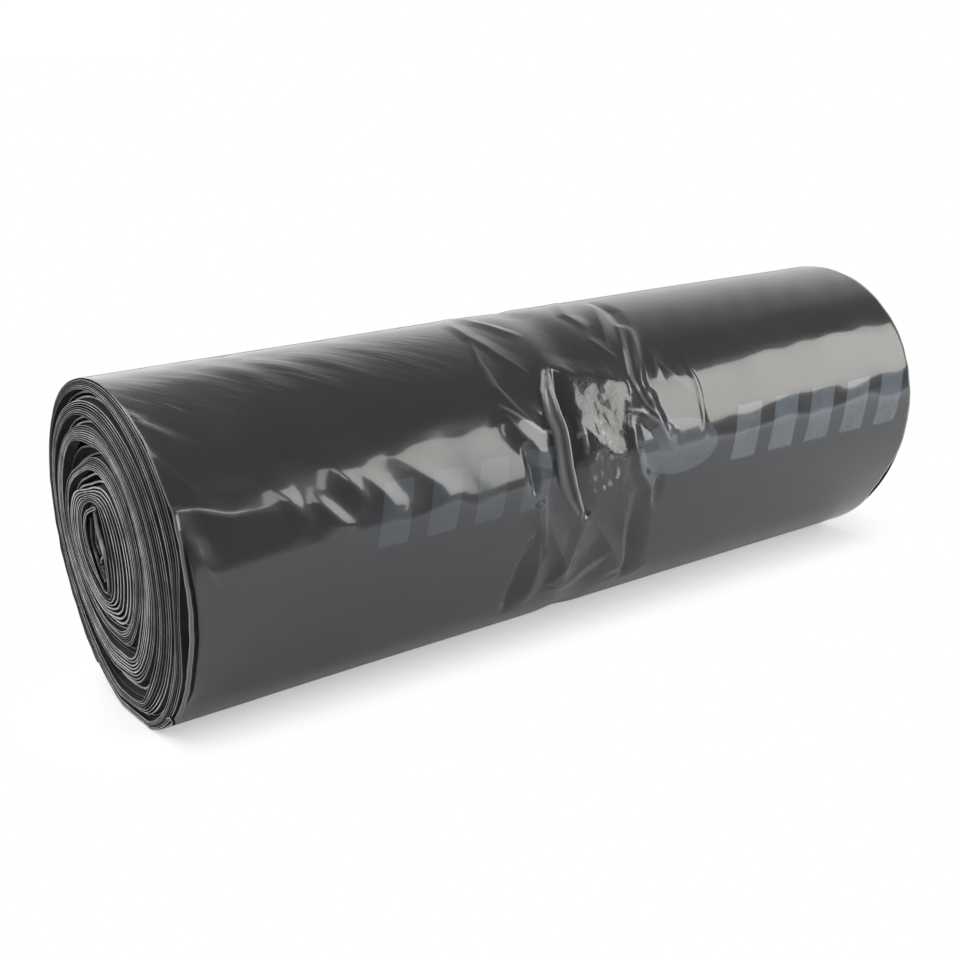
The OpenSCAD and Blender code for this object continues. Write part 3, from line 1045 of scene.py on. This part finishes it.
studio = {
    "floorTone": (0.775, 0.79, 0.825, 1),
    "floorLift": 0.46,      # white added to the floor for the camera
    "mirrorLift": 0.06,     # and for reflections in the film
    "whiteFrom": 0.018,     # metres from the roll's axis where the floor turns plain white
    "whiteTo": 0.052,
    "axisReach": 0.165,     # how far that axis reaches to each side
    # the white wall behind the roll: where it fades upward and to the front, and brightens
    "wallLevel": 0.74,
    "wallTop": (0.40, 0.90),
    "wallFront": (-0.05, 0.25),
    "leftWall": 1.9,
    "leftFade": (0.35, 1.05),
    "roomLevel": 0.15,
    "boxMiddle": (1.030, -0.890, 0.585),
    "boxRise": (0, 0.653, 0.758),
    "boxTurn": 23.5,
    "boxSize": (1.02, 0.85),
    "boxPower": 10.4,
    "boxTint": (1, 0.98, 0.935),
    "stripEnds": ((0.215, -0.760, 0.735), (0.365, -0.915, 0.560)),
    "stripWidth": 0.075,
    "stripPower": 0.22,
    "leftPlace": (-1.35, 0.85, 0.75),
    "leftSize": (1.1, 1.0),
    "leftPower": 9,
    "topPlace": (-0.42, 0.1, 1.7),
    "topSize": 1.4,
    "topPower": 14,
}


def areaLight(name, middle, right, up, size, power):
    data = bpy.data.lights.new(name, "AREA")
    data.shape = "RECTANGLE"
    data.size, data.size_y = size
    data.energy = power
    data.color = studio["boxTint"]
    lamp = bpy.data.objects.new(name, data)
    right = Vector(right).normalized()
    up = Vector(up).normalized()
    turn = Matrix((right, up, right.cross(up))).transposed().to_4x4()
    lamp.matrix_world = Matrix.Translation(middle) @ turn
    bpy.context.collection.objects.link(lamp)
    return lamp


def buildLights():
    rise = Vector(studio["boxRise"]).normalized()
    along = Vector((1, 0, 0))
    spin = math.radians(studio["boxTurn"])
    right = along * math.cos(spin) + rise * math.sin(spin)
    up = rise * math.cos(spin) - along * math.sin(spin)
    areaLight("softbox", studio["boxMiddle"], right, up, studio["boxSize"], studio["boxPower"])
    lo, hi = (Vector(p) for p in studio["stripEnds"])
    right = (hi - lo).normalized()
    middle = (lo + hi) / 2
    up = -right.cross(middle.normalized()).normalized()
    areaLight("strip", middle, right, up, ((hi - lo).length, studio["stripWidth"]), studio["stripPower"])
    place, size = studio["leftPlace"], studio["leftSize"]
    back = Vector(place).normalized()
    across = Vector((0, 0, 1)).cross(back)
    areaLight("leftBox", place, across, back.cross(across), size, studio["leftPower"])
    size = (studio["topSize"], studio["topSize"])
    areaLight("overhead", studio["topPlace"], (1, 0, 0), (0, 1, 0), size, studio["topPower"])
    print("lights")


def floorMaterial():
    mat, tree, kit = newMaterial("whiteFloor")
    tree.nodes.clear()
    sums = kit.sums
    path = tree.nodes.new("ShaderNodeLightPath")
    camera, glossy = path.outputs["Is Camera Ray"], path.outputs["Is Glossy Ray"]
    plain = tree.nodes.new("ShaderNodeBsdfDiffuse")
    plain.inputs["Color"].default_value = studio["floorTone"]
    lift = tree.nodes.new("ShaderNodeEmission")
    seen = sums("MULTIPLY", camera, studio["floorLift"])
    mirrored = sums("MULTIPLY", glossy, studio["mirrorLift"])
    kit.put(lift.inputs["Strength"], sums("ADD", seen, mirrored))
    both = tree.nodes.new("ShaderNodeAddShader")
    tree.links.new(plain.outputs[0], both.inputs[0])
    tree.links.new(lift.outputs[0], both.inputs[1])
    # away from the roll the floor is plain white to the camera
    white = tree.nodes.new("ShaderNodeEmission")
    parts = kit.split(kit.coordinate("Object"))
    beyond = sums("MAXIMUM", sums("SUBTRACT", sums("ABSOLUTE", parts["X"]), studio["axisReach"]), 0.0)
    far = sums("ADD", sums("MULTIPLY", beyond, beyond), sums("MULTIPLY", parts["Y"], parts["Y"]))
    fade = kit.ramp(sums("SQRT", far), studio["whiteFrom"], studio["whiteTo"])
    mix = tree.nodes.new("ShaderNodeMixShader")
    kit.put(mix.inputs["Fac"], sums("MULTIPLY", fade, camera))
    tree.links.new(both.outputs[0], mix.inputs[1])
    tree.links.new(white.outputs[0], mix.inputs[2])
    out = tree.nodes.new("ShaderNodeOutputMaterial")
    tree.links.new(mix.outputs[0], out.inputs["Surface"])
    return mat


def buildFloor():
    bm = bmesh.new()
    bmesh.ops.create_grid(bm, x_segments=1, y_segments=1, size=6)
    floor = meshObject("floor", bm)
    floor.data.materials.append(floorMaterial())
    print("floor")


def buildWorld():
    world = bpy.data.worlds.new("studio")
    bpy.context.scene.world = world
    world.use_nodes = True
    kit = nodeTools(world.node_tree)
    sums, ramp = kit.sums, kit.ramp
    back = world.node_tree.nodes["Background"]
    back.inputs["Color"].default_value = (1, 1, 1, 1)
    # a white wall stands behind the roll, and the room above and in front is dim
    parts = kit.split(kit.coordinate("Generated"))
    low = ramp(parts["Z"], *studio["wallTop"], 1, 0)
    behind = ramp(parts["Y"], *studio["wallFront"])
    toLeft = sums("SUBTRACT", parts["Y"], sums("MULTIPLY", parts["X"], 0.5))
    brighter = ramp(toLeft, *studio["leftFade"], 1, studio["leftWall"])
    room = studio["roomLevel"]
    wall = kit.product(behind, brighter, low, studio["wallLevel"] - room)
    seen = world.node_tree.nodes.new("ShaderNodeLightPath").outputs["Is Camera Ray"]
    kit.put(back.inputs["Strength"], sums("MAXIMUM", sums("ADD", wall, room), seen))
    print("world")


# Camera, as fitted to the photo

view = {
    "place": (-362.0, -467.0, 240.7),
    "yaw": 36.27,
    "pitch": 17.72,
    "roll": -0.34,
    "focalPixels": 1517.4,
    "imagePixels": 960,
    "sensor": 36,
}


def buildCamera():
    data = bpy.data.cameras.new("camera")
    data.sensor_width = view["sensor"]
    data.lens = view["sensor"] * view["focalPixels"] / view["imagePixels"]
    camera = bpy.data.objects.new("camera", data)
    x, y, z = view["place"]
    turn = Matrix.Rotation(-math.radians(view["yaw"]), 4, "Z")
    tip = Matrix.Rotation(math.radians(90 - view["pitch"]), 4, "X")
    level = Matrix.Rotation(math.radians(view["roll"]), 4, "Z")
    camera.matrix_world = Matrix.Translation(Vector((x, y + sideShift, z)) * mm) @ turn @ tip @ level
    bpy.context.collection.objects.link(camera)
    bpy.context.scene.camera = camera
    print("camera")


scene = bpy.context.scene
scene.view_settings.view_transform = "Standard"
buildCamera()
printedFilm = printedFilmMaterial()
woundFilm = woundFilmMaterial()
shadedFilm = shadedFilmMaterial()
print("materials")
outer = buildOuterFilm()
outer.data.materials.append(printedFilm)
nearTurns = buildTurns("near_turns", 1, 2.0)
farTurns = buildTurns("far_turns", -1, 31.0)
nearLoose = buildLooseFilm("near_loose_film", 1)
farLoose = buildLooseFilm("far_loose_film", -1)
nearHollow = buildHollow("near_hollow", 1)
farHollow = buildHollow("far_hollow", -1)
endPieces = (nearTurns, farTurns, nearLoose, farLoose, nearHollow, farHollow)
for piece in endPieces:
    piece.data.materials.append(woundFilm)
for piece in (outer,) + endPieces:
    piece.data.materials.append(shadedFilm)
    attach(piece, "root")
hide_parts("bag_roll")
buildFloor()
buildWorld()
buildLights()
